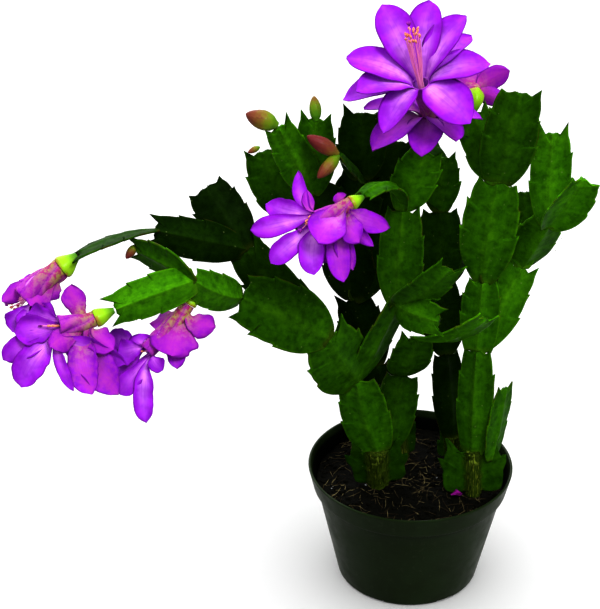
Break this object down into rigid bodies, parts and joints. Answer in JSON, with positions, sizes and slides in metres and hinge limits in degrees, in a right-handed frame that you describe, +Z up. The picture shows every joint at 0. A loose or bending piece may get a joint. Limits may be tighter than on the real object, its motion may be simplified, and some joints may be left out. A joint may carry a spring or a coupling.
{
  "type": "potted christmas cactus",
  "caption": "Flat-stemmed leafless cactus of toothed green segments with violet flowers and small buds, rooted in peat in a round dark green nursery pot.",
  "frame": {"origin": "centre of the pot's round underside, where it stands", "axes": "+Z up; -Y towards the onlooker, with the long flowering branch reaching out to -X"},
  "size_m": [0.2573, 0.1506, 0.2999],
  "materials": {
    "pot": "satin moulded plastic, dark green, almost black",
    "soil": "damp black-brown peat with tan fibres",
    "stem": "smooth waxy green flesh with a slight sheen",
    "ovary": "smooth yellow-green flesh",
    "tepal": "thin silky petal, violet-magenta with a pale throat",
    "stamen": "thin pink filaments with orange-red anthers",
    "bud": "smooth closed bud, green at its foot and pinkish orange at its tip"
  },
  "bodies": {
    "root": {"pot": "pot", "soil": "soil", "stem_left": "stem", "stem_back_left": "stem", "stem_back_middle": "stem", "stem_right": "stem", "bloom_top_ovary": "ovary", "bloom_top_tepals": "tepal", "bloom_top_stamens": "stamen", "bloom_back_ovary": "ovary", "bloom_back_tepals": "tepal", "bloom_back_stamens": "stamen", "bloom_middle_ovary": "ovary", "bloom_middle_tepals": "tepal", "bloom_middle_stamens": "stamen", "bloom_left_high_ovary": "ovary", "bloom_left_high_tepals": "tepal", "bloom_left_high_stamens": "stamen", "bloom_left_front_ovary": "ovary", "bloom_left_front_tepals": "tepal", "bloom_left_front_stamens": "stamen", "bloom_left_low_ovary": "ovary", "bloom_left_low_tepals": "tepal", "bloom_left_low_stamens": "stamen", "bud_1": "bud", "bud_2": "bud", "bud_3": "bud", "bud_4": "bud", "bud_5": "bud", "bud_6": "bud", "fallen_tepal": "tepal"}
  },
  "joints": []
}
